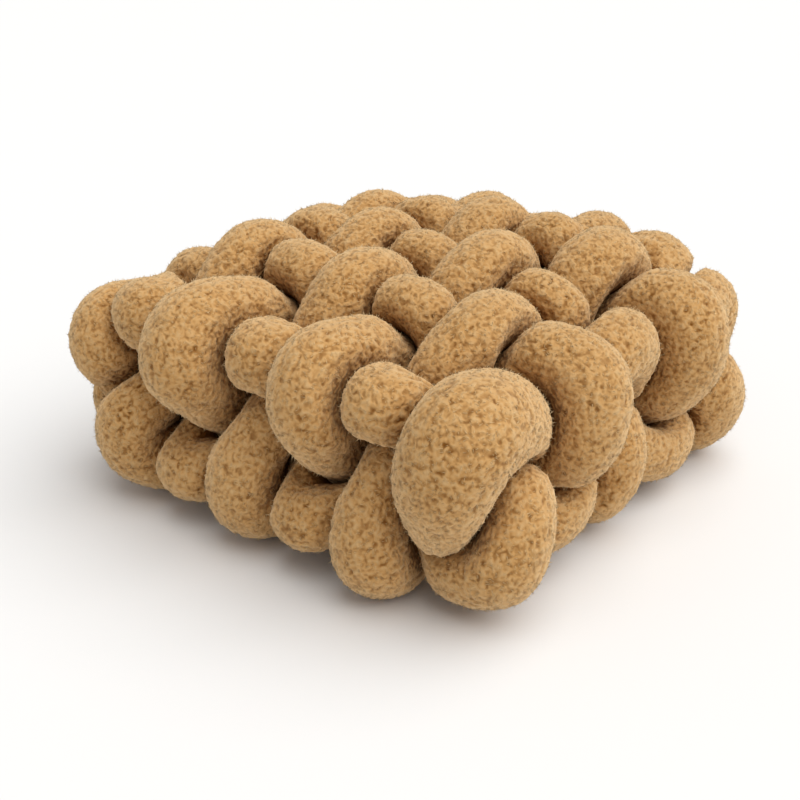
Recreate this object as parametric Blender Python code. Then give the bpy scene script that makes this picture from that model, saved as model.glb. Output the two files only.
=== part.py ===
"""Knot cushion: stuffed fabric tubes woven round a flattened square pillow.

Seven tubes run along X and five along Y. Each is closed on itself: it goes over the top, round both
sides and back underneath, and passes over and under the tubes that cross it. Every crossing is a
control point of the tubes' centrelines. A tube is fat where it lies outside its neighbour, slimmer
where it is tucked in, and pressed flat wherever it meets another tube or the surface it lies on.

Units are metres, +Z is up, and the origin is under the middle of the cushion, on the surface.
Run with: blender --background --python part.py
"""
import math
from collections import namedtuple

import bmesh
import bpy
import numpy as np

# ---------------------------------------------------------------- driving dimensions
X_TUBES = 7                # tubes that run along X, side by side along Y
Y_TUBES = 5                # tubes that run along Y, side by side along X
X_TUBE_PITCH = 0.058       # from one X tube to the next, along Y
Y_TUBE_PITCH = 0.079       # from one Y tube to the next, along X
MIDDLE_HEIGHT = 0.093      # the cushion's middle plane above the surface it lies on

TOP_LEVEL = 0.065          # middle of the top layer above the middle plane, at the rim
TOP_CROWN = 0.011          # how much higher the top layer is at the centre
BOTTOM_LEVEL = 0.054       # middle of the bottom layer below the middle plane
WEAVE_DEPTH = 0.0145       # how far a centreline swings out or in at a crossing

OUTER_RADIUS_X = 0.0300    # an X tube where it lies outside, on the faces
OUTER_RADIUS_Y = 0.0270    # a Y tube where it lies outside, on the faces
RIM_RADIUS = 0.0300        # either tube where it wraps round the rim
TUCKED_RADIUS = 0.0285     # either tube where it is tucked under
INNER_STRETCH = 0.75       # how much deeper than round a pressed tube reaches into the cushion

# The crossings round the rim: how far they lie outside the even grid, how far they drop from their
# layer, how far the outer tube bulges and the inner one is tucked in, and the lean of both moves in
# degrees from straight up or down.
Rim = namedtuple("Rim", "outset drop bulge bulge_lean tuck tuck_lean")
RIM_X_TOP = Rim(outset=0.004, drop=0.010, bulge=0.027, bulge_lean=80, tuck=0.026, tuck_lean=45)
RIM_Y_TOP = Rim(outset=-0.010, drop=0.030, bulge=0.026, bulge_lean=42, tuck=0.022, tuck_lean=12)
RIM_X_BOTTOM = Rim(outset=0.006, drop=0.012, bulge=0.020, bulge_lean=70, tuck=0.026, tuck_lean=45)
RIM_Y_BOTTOM = Rim(outset=-0.005, drop=0.008, bulge=0.012, bulge_lean=78, tuck=0.022, tuck_lean=12)

# Crossings where a tube stands away from the even weave, in millimetres, and how much fatter it is
# than its like. Tube i is counted along X and tube j along Y, from the corner at -X -Y.
Lobe = namedtuple("Lobe", "run i j layer move_x move_y move_z fatness")
UNEVEN_LOBES = (
    Lobe("x", 0, 0, 0, 7, -7, 9, 1.28),
    Lobe("x", 0, 2, 0, -2, 0, -3, 1.03),
    Lobe("x", 0, 4, 0, -4, 6, 1, 1.16),
    Lobe("x", 0, 6, 0, 2, 3, 7, 1.00),
    Lobe("x", 1, 0, 0, 12, -12, 16, 1.00),
    Lobe("x", 1, 1, 0, 6, -11, -5, 1.00),
    Lobe("x", 1, 3, 0, 4, -9, -5, 1.14),
    Lobe("x", 1, 5, 0, 5, -4, 3, 1.05),
    Lobe("x", 2, 0, 0, 11, -8, 8, 0.94),
    Lobe("x", 2, 2, 0, 10, -8, 7, 0.98),
    Lobe("x", 2, 4, 0, 10, -7, 7, 0.89),
    Lobe("x", 3, 1, 0, 10, -9, 3, 1.13),
    Lobe("x", 3, 3, 0, 14, -13, 5, 1.09),
    Lobe("x", 3, 5, 0, -2, 3, 1, 0.89),
    Lobe("x", 4, 0, 0, -2, 1, -3, 1.00),
    Lobe("x", 4, 2, 0, 4, -2, 3, 0.97),
    Lobe("y", 0, 1, 0, -6, 11, 1, 0.86),
    Lobe("y", 0, 3, 0, -4, 6, 1, 0.93),
    Lobe("y", 0, 5, 0, -7, 13, 6, 1.00),
    Lobe("y", 1, 0, 0, 12, -14, 1, 1.14),
    Lobe("y", 1, 2, 0, -4, -6, -13, 1.02),
    Lobe("y", 1, 4, 0, 2, -11, -11, 1.11),
    Lobe("y", 1, 6, 0, -2, 2, 0, 0.86),
    Lobe("y", 2, 1, 0, 1, -6, -6, 0.91),
    Lobe("y", 2, 3, 0, 4, -5, 0, 1.01),
    Lobe("y", 2, 5, 0, 2, -4, -1, 1.05),
    Lobe("y", 3, 0, 0, 5, -8, 2, 1.30),
    Lobe("y", 3, 2, 0, 15, -13, 7, 0.97),
    Lobe("y", 3, 4, 0, 5, -5, 1, 0.98),
    Lobe("y", 4, 1, 0, 7, -6, 4, 1.08),
    Lobe("x", 0, 0, 1, -6, 4, -10, 1.05),
    Lobe("x", 0, 1, 1, -6, 2, -4, 1.02),
    Lobe("x", 0, 3, 1, -8, 12, 3, 1.18),
    Lobe("x", 0, 5, 1, -13, 24, 9, 1.14),
    Lobe("x", 1, 0, 1, 0, 8, 12, 1.00),
    Lobe("x", 3, 0, 1, 0, -3, -3, 0.92),
    Lobe("y", 0, 0, 1, 14, -14, 0, 1.05),
    Lobe("y", 0, 2, 1, -13, 13, -1, 0.86),
    Lobe("y", 0, 4, 1, -16, 20, 0, 0.86),
    Lobe("y", 0, 6, 1, 8, -6, 4, 0.95),
    Lobe("y", 2, 0, 1, -8, 5, -7, 1.00),
    Lobe("y", 4, 0, 1, -8, 6, -6, 1.24),
)

UNEVENNESS = 0.002         # the other crossings wander about this much

PRESSED_SHARE = 0.55       # the least distance of two centrelines, in sums of their tubes' radii
REST_PRESS = 0.005         # how much of a tube's radius its own weight flattens on the surface

# ---------------------------------------------------------------- mesh fineness and clearances
SAMPLES_PER_CROSSING = 10  # points of a centreline from one crossing to the next
SAMPLES_PER_SECTION = 2    # every second point carries a cross-section
SIDES = 12                 # corners of a cross-section
CONTACT_GAP = 0.0018       # clear space between two pressed faces
CONTACT_ROUNDING = 0.003   # how softly a round side runs into a pressed face
OWN_REACH = 1.6            # in radii: how near along a tube its own points don't press on it
RELIEF_ROUNDS = 4          # rounds in which corners draw in, so that no facet cuts a neighbour
SETTLING_STEPS = 40        # rounds in which the tubes are eased apart
SETTLING_RATE = 0.4        # share of a shortfall that one round makes up
SETTLING_SPREAD = 3        # how far a push is shared out along a tube

FABRIC_COLOUR = (0.48, 0.30, 0.13, 1.0)
FABRIC_ROUGHNESS = 0.95

TOP = 0
BOTTOM = 1

Tube = namedtuple("Tube", "name run index")
Line = namedtuple("Line", "points radii outward lengths total")
Surroundings = namedtuple("Surroundings", "points radii own")


# ---------------------------------------------------------------- the weave
def x_lies_outside(i, j, layer):
    """Plain weave: the X tube lies outside at every other crossing, and the layers alternate."""
    return (i + j + layer) % 2 == 0


def edge_sign(index, count):
    """-1 or 1 for the first or last tube of its set, 0 for the ones between."""
    return (index == count - 1) - (index == 0)


def wander(i, j, layer, axis):
    """A small fixed offset that differs from crossing to crossing."""
    return UNEVENNESS * math.sin(12.9 * i + 78.2 * j + 37.7 * layer + 4.1 * axis)


def lean_direction(edge_x, edge_y, layer, lean_x, lean_y):
    """The direction out of the cushion at a crossing, leaning outwards where it is on the rim."""
    outward = np.array([
        edge_x * math.tan(math.radians(lean_x)),
        edge_y * math.tan(math.radians(lean_y)),
        1.0 if layer == TOP else -1.0,
    ])
    return outward / np.linalg.norm(outward)


def pillow_point(i, j, layer):
    """The crossing's middle on the pillow shape, and the ways its outer and inner tube are moved."""
    edge_x = edge_sign(i, Y_TUBES)
    edge_y = edge_sign(j, X_TUBES)
    rim_x = RIM_X_TOP if layer == TOP else RIM_X_BOTTOM
    rim_y = RIM_Y_TOP if layer == TOP else RIM_Y_BOTTOM
    half_x = (Y_TUBES - 1) / 2
    half_y = (X_TUBES - 1) / 2
    x = (i - half_x) * Y_TUBE_PITCH + edge_x * rim_x.outset
    y = (j - half_y) * X_TUBE_PITCH + edge_y * rim_y.outset
    drop = max(abs(edge_x) * rim_x.drop, abs(edge_y) * rim_y.drop)
    if layer == TOP:
        dome = 1 - 0.5 * ((i - half_x) / half_x) ** 2 - 0.5 * ((j - half_y) / half_y) ** 2
        z = TOP_LEVEL + TOP_CROWN * dome - drop
    else:
        z = drop - BOTTOM_LEVEL
    outer_way = lean_direction(edge_x, edge_y, layer, rim_x.bulge_lean, rim_y.bulge_lean)
    inner_way = lean_direction(edge_x, edge_y, layer, rim_x.tuck_lean, rim_y.tuck_lean)
    return np.array([x, y, z + MIDDLE_HEIGHT]), outer_way, inner_way


def outer_radius(run, i, j):
    """Radius of the tube that lies outside at a crossing."""
    if run == "x":
        return RIM_RADIUS if edge_sign(i, Y_TUBES) else OUTER_RADIUS_X
    on_rim = edge_sign(i, Y_TUBES) or edge_sign(j, X_TUBES)
    return RIM_RADIUS if on_rim else OUTER_RADIUS_Y


def outer_bulge(run, i, j, layer):
    """How far the centreline of the tube that lies outside swings out at a crossing."""
    if run == "x" and edge_sign(i, Y_TUBES):
        return (RIM_X_TOP if layer == TOP else RIM_X_BOTTOM).bulge
    if run == "y" and edge_sign(j, X_TUBES):
        return (RIM_Y_TOP if layer == TOP else RIM_Y_BOTTOM).bulge
    return WEAVE_DEPTH


def inner_tuck(i, j, layer):
    """How far the centreline of the tube that lies inside swings in at a crossing."""
    if edge_sign(i, Y_TUBES):
        return (RIM_X_TOP if layer == TOP else RIM_X_BOTTOM).tuck
    if edge_sign(j, X_TUBES):
        return (RIM_Y_TOP if layer == TOP else RIM_Y_BOTTOM).tuck
    return WEAVE_DEPTH


def crossings_of(tube):
    """The crossings that a tube passes, in order: along the top, then back along the bottom."""
    if tube.run == "x":
        along = [(i, tube.index) for i in range(Y_TUBES)]
    else:
        along = [(tube.index, j) for j in range(X_TUBES)]
    return [(i, j, TOP) for i, j in along] + [(i, j, BOTTOM) for i, j in reversed(along)]


def control_point(tube, i, j, layer):
    """Where a tube's centreline passes a crossing, its radius and the outward direction there."""
    middle, outer_way, inner_way = pillow_point(i, j, layer)
    middle = middle + np.array([wander(i, j, layer, axis) for axis in range(3)])
    if x_lies_outside(i, j, layer) == (tube.run == "x"):
        way = outer_way
        point = middle + outer_way * outer_bulge(tube.run, i, j, layer)
        radius = outer_radius(tube.run, i, j)
    else:
        way = inner_way
        point = middle - inner_way * inner_tuck(i, j, layer)
        radius = TUCKED_RADIUS
    for lobe in UNEVEN_LOBES:
        if (lobe.run, lobe.i, lobe.j, lobe.layer) == (tube.run, i, j, layer):
            point = point + np.array([lobe.move_x, lobe.move_y, lobe.move_z]) / 1000
            radius = radius * lobe.fatness
    return point, radius, way


# ---------------------------------------------------------------- centrelines
def closed_spline(values, knots, at):
    """Smooth closed curve through values at the knots (the last knot is the period), read at at."""
    count = len(values)
    step = np.diff(knots)
    matrix = np.zeros((count, count))
    right = np.zeros((count, values.shape[1]))
    for here in range(count):
        before = (here - 1) % count
        after = (here + 1) % count
        matrix[here, before] += step[before]
        matrix[here, here] += 2 * (step[before] + step[here])
        matrix[here, after] += step[here]
        rise = (values[after] - values[here]) / step[here]
        fall = (values[here] - values[before]) / step[before]
        right[here] = 6 * (rise - fall)
    bend = np.linalg.solve(matrix, right)
    at = np.mod(at, knots[-1])
    low = np.clip(np.searchsorted(knots, at, side="right") - 1, 0, count - 1)
    high = (low + 1) % count
    span = step[low][:, None]
    to_high = (knots[low + 1] - at)[:, None]
    from_low = (at - knots[low])[:, None]
    cubic = (bend[low] * to_high ** 3 + bend[high] * from_low ** 3) / (6 * span)
    linear = (values[low] / span - bend[low] * span / 6) * to_high
    linear = linear + (values[high] / span - bend[high] * span / 6) * from_low
    return cubic + linear


def centreline(tube, per_crossing):
    """A tube's centreline with per_crossing points from each crossing to the next."""
    controls = [control_point(tube, *crossing) for crossing in crossings_of(tube)]
    points = np.array([control[0] for control in controls])
    radii = np.array([[control[1]] for control in controls])
    outward = np.array([control[2] for control in controls])
    chords = np.linalg.norm(np.roll(points, -1, axis=0) - points, axis=1)
    knots = np.concatenate([[0.0], np.cumsum(chords)])
    shares = np.arange(per_crossing) / per_crossing
    at = (knots[:-1, None] + chords[:, None] * shares).ravel()
    line = closed_spline(points, knots, at)
    return Line(
        points=line,
        radii=closed_spline(radii, knots, at)[:, 0],
        outward=closed_spline(outward, knots, at),
        lengths=at,
        total=knots[-1],
    )


def smoothed(values, steps):
    """Values round a closed line, each shared out over its neighbours, steps times."""
    for _ in range(steps):
        values = (np.roll(values, 1, axis=0) + 2 * values + np.roll(values, -1, axis=0)) / 4
    return values


def settled(lines):
    """Centrelines eased apart where tubes are closer than stuffing can be pressed."""
    tubes = list(lines)
    counts = [len(lines[tube].points) for tube in tubes]
    ends = np.cumsum(counts)
    points = np.concatenate([lines[tube].points for tube in tubes])
    radii = np.concatenate([lines[tube].radii for tube in tubes])
    closest = PRESSED_SHARE * (radii[:, None] + radii[None, :])
    for tube, count, end in zip(tubes, counts, ends):
        lengths = lines[tube].lengths
        apart = np.abs(lengths[:, None] - lengths[None, :])
        apart = np.minimum(apart, lines[tube].total - apart)
        own = slice(end - count, end)
        closest[own, own][apart < OWN_REACH * radii[own, None]] = 0.0
    every = np.arange(len(points))
    for _ in range(SETTLING_STEPS):
        offset = points[:, None, :] - points[None, :, :]
        distance = np.linalg.norm(offset, axis=2) + 1e-9
        shortfall = closest - distance
        worst = shortfall.argmax(axis=1)
        strength = np.maximum(shortfall[every, worst], 0.0) / distance[every, worst]
        push = offset[every, worst] * strength[:, None] * SETTLING_RATE
        sunk = np.maximum(radii - REST_PRESS - points[:, 2], 0.0)
        push[:, 2] += sunk * SETTLING_RATE
        for count, end in zip(counts, ends):
            own = slice(end - count, end)
            points[own] += smoothed(push[own], SETTLING_SPREAD)
    settled_lines = {}
    for tube, count, end in zip(tubes, counts, ends):
        settled_lines[tube] = lines[tube]._replace(points=points[end - count:end])
    return settled_lines


def every_nth(line, step):
    """A centreline with only every step-th of its points."""
    return line._replace(
        points=line.points[::step],
        radii=line.radii[::step],
        outward=line.outward[::step],
        lengths=line.lengths[::step],
    )


def section_axes(line):
    """For each point of a centreline, the direction out of the cushion and the one to the side."""
    along = np.roll(line.points, -1, axis=0) - np.roll(line.points, 1, axis=0)
    along /= np.linalg.norm(along, axis=1)[:, None]
    outward = line.outward - np.sum(line.outward * along, axis=1)[:, None] * along
    outward /= np.linalg.norm(outward, axis=1)[:, None]
    return outward, np.cross(along, outward)


# ---------------------------------------------------------------- tubes pressed together
def soft_minimum(first, second, rounding):
    """The smaller of two lengths, rounded off where they are alike; never more than either."""
    overlap = np.maximum(rounding - np.abs(first - second), 0.0)
    return np.minimum(first, second) - overlap ** 2 / (4 * rounding)


def surroundings(tube, line, lines):
    """All centreline points, and for each section of a tube which of them are its own stretch."""
    own = []
    for other, other_line in lines.items():
        apart = np.abs(line.lengths[:, None] - other_line.lengths[None, :])
        apart = np.minimum(apart, line.total - apart)
        own.append((apart < OWN_REACH * line.radii[:, None]) & (other == tube))
    return Surroundings(
        points=np.concatenate([other_line.points for other_line in lines.values()]),
        radii=np.concatenate([other_line.radii for other_line in lines.values()]),
        own=np.concatenate(own, axis=1),
    )


def pressed_reach(line, directions, around):
    """How far each direction can go before the point is nearer to another tube than to its own.

    directions is sections x sides x 3. Each sphere of another centreline gives one flat limit, the
    plane in which the two spheres' surfaces cross, and CONTACT_GAP keeps both sides off it.
    """
    offset = around.points[None, :, :] - line.points[:, None, :]
    distance = np.where(around.own, 1.0, np.linalg.norm(offset, axis=2))
    radius_term = line.radii[:, None] ** 2 - around.radii[None, :] ** 2
    plane = (distance + radius_term / distance) / 2 - CONTACT_GAP / 2
    toward = np.einsum("snk,sdk->sdn", offset, directions) / distance[:, None, :]
    facing = (toward > 1e-6) & ~around.own[:, None, :]
    limit = np.where(facing, plane[:, None, :] / np.maximum(toward, 1e-6), np.inf)
    return limit.min(axis=2)


def clearance(points, around):
    """How far points of a tube's skin, sections x any x 3, are from the limit to other tubes."""
    offset = points[:, :, None, :] - around.points[None, None, :, :]
    power = np.sum(offset ** 2, axis=3) - around.radii ** 2
    own_power = np.where(around.own[:, None, :], power, np.inf)
    other_power = np.where(around.own[:, None, :], np.inf, power)
    own_point = around.points[own_power.argmin(axis=2)]
    other_point = around.points[other_power.argmin(axis=2)]
    between = np.linalg.norm(own_point - other_point, axis=2)
    return (other_power.min(axis=2) - own_power.min(axis=2)) / (2 * between)


def flat_facet_relief(corners, around):
    """How far each corner has to draw in, so that the flat facets between corners stay clear."""
    beside = np.roll(corners, -1, axis=1)
    following = np.roll(corners, -1, axis=0)
    diagonal = np.roll(following, -1, axis=1)
    middles = np.concatenate([
        (corners + beside) / 2,
        (corners + following) / 2,
        (corners + beside + following + diagonal) / 4,
    ], axis=1)
    short = np.maximum(CONTACT_GAP / 2 - clearance(middles, around), 0.0)
    across, along, centre = np.split(short, 3, axis=1)
    relief = np.maximum(across, np.roll(across, 1, axis=1))
    relief = np.maximum(relief, np.maximum(along, np.roll(along, 1, axis=0)))
    centre = np.maximum(centre, np.roll(centre, 1, axis=0))
    return np.maximum(relief, np.maximum(centre, np.roll(centre, 1, axis=1)))


def tube_points(tube, line, lines):
    """The corners of all cross-sections, sections x sides x 3."""
    around = surroundings(tube, line, lines)
    outward, sideways = section_axes(line)
    angles = 2 * math.pi * (np.arange(SIDES) + 0.5) / SIDES
    directions = outward[:, None, :] * np.cos(angles)[None, :, None]
    directions = directions + sideways[:, None, :] * np.sin(angles)[None, :, None]
    inner_side = np.maximum(-np.cos(angles), 0.0) ** 2
    reach = line.radii[:, None] * (1 + INNER_STRETCH * inner_side)[None, :]
    reach = soft_minimum(reach, pressed_reach(line, directions, around), CONTACT_ROUNDING)
    for _ in range(RELIEF_ROUNDS):
        corners = line.points[:, None, :] + directions * reach[:, :, None]
        reach = reach - flat_facet_relief(corners, around)
    down = -directions[:, :, 2]
    floor = line.points[:, None, 2] / np.maximum(down, 1e-6)
    on_floor = (down > 1e-6) & (floor < reach)
    reach = np.where(on_floor, floor, reach)
    corners = line.points[:, None, :] + directions * reach[:, :, None]
    corners[:, :, 2] = np.where(on_floor, 0.0, corners[:, :, 2])
    return corners


# ---------------------------------------------------------------- Blender objects
def fabric():
    """The pile fabric's plain colour and roughness."""
    material = bpy.data.materials.new("curly_pile_fabric")
    material.use_nodes = True
    shader = material.node_tree.nodes["Principled BSDF"]
    shader.inputs["Base Color"].default_value = FABRIC_COLOUR
    shader.inputs["Roughness"].default_value = FABRIC_ROUGHNESS
    shader.inputs["Metallic"].default_value = 0.0
    return material


def tube_object(name, corners, material):
    """One closed tube from its rings of corners."""
    sections, sides = corners.shape[:2]
    mesh = bmesh.new()
    rings = [[mesh.verts.new(corner) for corner in ring] for ring in corners]
    for section in range(sections):
        ring = rings[section]
        following = rings[(section + 1) % sections]
        for side in range(sides):
            beside = (side + 1) % sides
            mesh.faces.new((ring[side], ring[beside], following[beside], following[side]))
    bmesh.ops.recalc_face_normals(mesh, faces=mesh.faces[:])
    bmesh.ops.triangulate(mesh, faces=mesh.faces[:])
    data = bpy.data.meshes.new(name)
    mesh.to_mesh(data)
    mesh.free()
    data.shade_smooth()
    data.materials.append(material)
    piece = bpy.data.objects.new(name, data)
    bpy.context.scene.collection.objects.link(piece)
    return piece


def all_tubes():
    """Every tube of the cushion, X tubes first."""
    tubes = [Tube(f"tube_x_{index + 1}", "x", index) for index in range(X_TUBES)]
    return tubes + [Tube(f"tube_y_{index + 1}", "y", index) for index in range(Y_TUBES)]


def main():
    for old in list(bpy.data.objects):
        bpy.data.objects.remove(old)
    lines = settled({tube: centreline(tube, SAMPLES_PER_CROSSING) for tube in all_tubes()})
    shapes = {}
    for tube, line in lines.items():
        shapes[tube] = tube_points(tube, every_nth(line, SAMPLES_PER_SECTION), lines)
    every_corner = np.concatenate([shape.reshape(-1, 3) for shape in shapes.values()])
    middle = (every_corner.min(axis=0) + every_corner.max(axis=0)) / 2
    middle[2] = 0.0
    for tube, corners in shapes.items():
        tube_object(tube.name, corners - middle, fabric())


if __name__ == "__main__":
    main()
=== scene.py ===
"""Knot cushion of curly-pile fabric: stuffed tubes woven round a flattened square pillow.

Seven tubes run along X and five along Y, each closed on itself round the cushion. Every tube is made
again at full fineness from the weave's own sizes, gets its pile by geometry nodes, and stands for the
CAD solid of the same name. A pale floor, one wide soft light and a camera complete the scene.
Units are metres, +Z is up, and the origin is under the middle of the cushion, on the surface.
"""
import math
from collections import namedtuple

import bpy
import numpy as np
from bpy.props import FloatProperty, FloatVectorProperty, PointerProperty
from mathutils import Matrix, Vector


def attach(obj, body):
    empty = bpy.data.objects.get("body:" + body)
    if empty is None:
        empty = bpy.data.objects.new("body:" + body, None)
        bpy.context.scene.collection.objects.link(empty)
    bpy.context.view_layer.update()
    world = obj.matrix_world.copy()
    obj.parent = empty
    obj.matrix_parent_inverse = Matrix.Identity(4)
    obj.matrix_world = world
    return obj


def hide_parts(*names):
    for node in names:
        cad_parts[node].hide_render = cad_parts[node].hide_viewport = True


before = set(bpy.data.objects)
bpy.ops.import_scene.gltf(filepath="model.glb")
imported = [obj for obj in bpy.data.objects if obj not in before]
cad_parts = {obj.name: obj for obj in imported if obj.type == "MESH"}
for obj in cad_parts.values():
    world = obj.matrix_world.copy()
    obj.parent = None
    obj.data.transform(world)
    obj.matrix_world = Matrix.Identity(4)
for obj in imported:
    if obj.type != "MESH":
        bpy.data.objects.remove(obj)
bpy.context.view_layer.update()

bl_info = {
    "name": "Knot cushion",
    "version": (1, 0, 0),
    "blender": (4, 5, 0),
    "location": "3D View > Sidebar > Knot cushion",
    "description": "A cushion woven from stuffed tubes of curly-pile fabric",
    "category": "Object",
}

BODY = "root"

# ---------------------------------------------------------------- the weave's sizes, as in the CAD
X_TUBES = 7                # tubes that run along X, side by side along Y
Y_TUBES = 5                # tubes that run along Y, side by side along X
X_TUBE_PITCH = 0.058       # from one X tube to the next, along Y
Y_TUBE_PITCH = 0.079       # from one Y tube to the next, along X
MIDDLE_HEIGHT = 0.093      # the cushion's middle plane above the surface it lies on

TOP_LEVEL = 0.065          # middle of the top layer above the middle plane, at the rim
TOP_CROWN = 0.011          # how much higher the top layer is at the centre
BOTTOM_LEVEL = 0.054       # middle of the bottom layer below the middle plane
WEAVE_DEPTH = 0.0145       # how far a centreline swings out or in at a crossing

OUTER_RADIUS_X = 0.0300    # an X tube where it lies outside, on the faces
OUTER_RADIUS_Y = 0.0270    # a Y tube where it lies outside, on the faces
RIM_RADIUS = 0.0300        # either tube where it wraps round the rim
TUCKED_RADIUS = 0.0285     # either tube where it is tucked under
INNER_STRETCH = 0.75       # how much deeper than round a pressed tube reaches into the cushion

# The crossings round the rim: how far they lie outside the even grid, how far they drop from their
# layer, how far the outer tube bulges and the inner one is tucked in, and the lean of both moves in
# degrees from straight up or down.
Rim = namedtuple("Rim", "outset drop bulge bulge_lean tuck tuck_lean")
RIM_X_TOP = Rim(outset=0.004, drop=0.010, bulge=0.027, bulge_lean=80, tuck=0.026, tuck_lean=45)
RIM_Y_TOP = Rim(outset=-0.010, drop=0.030, bulge=0.026, bulge_lean=42, tuck=0.022, tuck_lean=12)
RIM_X_BOTTOM = Rim(outset=0.006, drop=0.012, bulge=0.020, bulge_lean=70, tuck=0.026, tuck_lean=45)
RIM_Y_BOTTOM = Rim(outset=-0.005, drop=0.008, bulge=0.012, bulge_lean=78, tuck=0.022, tuck_lean=12)

# Crossings where a tube stands away from the even weave, in millimetres, and how much fatter it is
# than its like. Tube i is counted along X and tube j along Y, from the corner at -X -Y.
Lobe = namedtuple("Lobe", "run i j layer move_x move_y move_z fatness")
UNEVEN_LOBES = (
    Lobe("x", 0, 0, 0, 7, -7, 9, 1.28),
    Lobe("x", 0, 2, 0, -2, 0, -3, 1.03),
    Lobe("x", 0, 4, 0, -4, 6, 1, 1.16),
    Lobe("x", 0, 6, 0, 2, 3, 7, 1.00),
    Lobe("x", 1, 0, 0, 12, -12, 16, 1.00),
    Lobe("x", 1, 1, 0, 6, -11, -5, 1.00),
    Lobe("x", 1, 3, 0, 4, -9, -5, 1.14),
    Lobe("x", 1, 5, 0, 5, -4, 3, 1.05),
    Lobe("x", 2, 0, 0, 11, -8, 8, 0.94),
    Lobe("x", 2, 2, 0, 10, -8, 7, 0.98),
    Lobe("x", 2, 4, 0, 10, -7, 7, 0.89),
    Lobe("x", 3, 1, 0, 10, -9, 3, 1.13),
    Lobe("x", 3, 3, 0, 14, -13, 5, 1.09),
    Lobe("x", 3, 5, 0, -2, 3, 1, 0.89),
    Lobe("x", 4, 0, 0, -2, 1, -3, 1.00),
    Lobe("x", 4, 2, 0, 4, -2, 3, 0.97),
    Lobe("y", 0, 1, 0, -6, 11, 1, 0.86),
    Lobe("y", 0, 3, 0, -4, 6, 1, 0.93),
    Lobe("y", 0, 5, 0, -7, 13, 6, 1.00),
    Lobe("y", 1, 0, 0, 12, -14, 1, 1.14),
    Lobe("y", 1, 2, 0, -4, -6, -13, 1.02),
    Lobe("y", 1, 4, 0, 2, -11, -11, 1.11),
    Lobe("y", 1, 6, 0, -2, 2, 0, 0.86),
    Lobe("y", 2, 1, 0, 1, -6, -6, 0.91),
    Lobe("y", 2, 3, 0, 4, -5, 0, 1.01),
    Lobe("y", 2, 5, 0, 2, -4, -1, 1.05),
    Lobe("y", 3, 0, 0, 5, -8, 2, 1.30),
    Lobe("y", 3, 2, 0, 15, -13, 7, 0.97),
    Lobe("y", 3, 4, 0, 5, -5, 1, 0.98),
    Lobe("y", 4, 1, 0, 7, -6, 4, 1.08),
    Lobe("x", 0, 0, 1, -6, 4, -10, 1.05),
    Lobe("x", 0, 1, 1, -6, 2, -4, 1.02),
    Lobe("x", 0, 3, 1, -8, 12, 3, 1.18),
    Lobe("x", 0, 5, 1, -13, 24, 9, 1.14),
    Lobe("x", 1, 0, 1, 0, 8, 12, 1.00),
    Lobe("x", 3, 0, 1, 0, -3, -3, 0.92),
    Lobe("y", 0, 0, 1, 14, -14, 0, 1.05),
    Lobe("y", 0, 2, 1, -13, 13, -1, 0.86),
    Lobe("y", 0, 4, 1, -16, 20, 0, 0.86),
    Lobe("y", 0, 6, 1, 8, -6, 4, 0.95),
    Lobe("y", 2, 0, 1, -8, 5, -7, 1.00),
    Lobe("y", 4, 0, 1, -8, 6, -6, 1.24),
)

UNEVENNESS = 0.002         # the other crossings wander about this much
WANDER_TURNS = (12.9, 78.2, 37.7, 4.1)   # so uneven that no two crossings wander alike

PRESSED_SHARE = 0.55       # the least distance of two centrelines, in sums of their tubes' radii
REST_PRESS = 0.005         # how much of a tube's radius its own weight flattens on the surface
OWN_REACH = 1.6            # in radii: how near along a tube its own points don't press on it
SAMPLES_PER_CROSSING = 10  # points of a centreline from one crossing to the next
SETTLING_STEPS = 40        # rounds in which the tubes are eased apart
SETTLING_RATE = 0.4        # share of a shortfall that one round makes up
SETTLING_SPREAD = 3        # how far a push is shared out along a tube
CENTRE_SHIFT = (0.00492, 0.00597, 0.0)   # brings the middle of the woven tubes over the origin

# ---------------------------------------------------------------- fineness of the visible tubes
SIDES = 80                 # corners of a cross-section
SECTIONS = 330             # cross-sections of a tube
SHOWN_DENSITY = 2.6        # how much closer sections lie where a tube shows than where it is tucked
SHOWN_ANGLE = 110          # degrees from the outward direction within which a section mostly shows
SHOWN_CORNERS = 0.8        # share of a section's corners within that angle
SHOWN_SPREAD = 1.6         # how far the closer sections spread from where a tube lies outside
AROUND_SPACING = 0.003     # spacing of the points that stand for the tubes round a section
AROUND_REACH = 0.105       # how far away tubes are looked for
SECTIONS_AT_ONCE = 12      # sections worked out together, to spare memory
CONTACT_ROUNDING = 0.022   # how softly a round side runs into a pressed face
FREE_MARGIN = 0.008        # within this of a pressed face the pile lies down and the painted crease shade fades in
LEAST_DISTANCE = 1e-9      # keeps a point's distance to itself from being nought
LEAST_FACING = 1e-6        # a direction that faces a plane or the floor less than this never meets it

TOP = 0
BOTTOM = 1

Tube = namedtuple("Tube", "name run index")

# A closed centreline: its points, the tube's radius, the way out of the cushion and how far the tube
# shows (0 tucked, 1 outside) at each of the lengths along it, and the length of the whole line.
Line = namedtuple("Line", "points radii outward shown lengths total")

# Points of all centrelines: place, radius, number of the tube and length along it.
Around = namedtuple("Around", "points radii owner lengths")


# ---------------------------------------------------------------- the weave
def x_lies_outside(i, j, layer):
    """Plain weave: the X tube lies outside at every other crossing, and the layers alternate."""
    return (i + j + layer) % 2 == 0


def edge_sign(index, count):
    """-1 or 1 for the first or last tube of its set, 0 for the ones between."""
    return (index == count - 1) - (index == 0)


def wander(i, j, layer, axis):
    """A small fixed offset that differs from crossing to crossing."""
    per_i, per_j, per_layer, per_axis = WANDER_TURNS
    return UNEVENNESS * math.sin(per_i * i + per_j * j + per_layer * layer + per_axis * axis)


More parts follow.
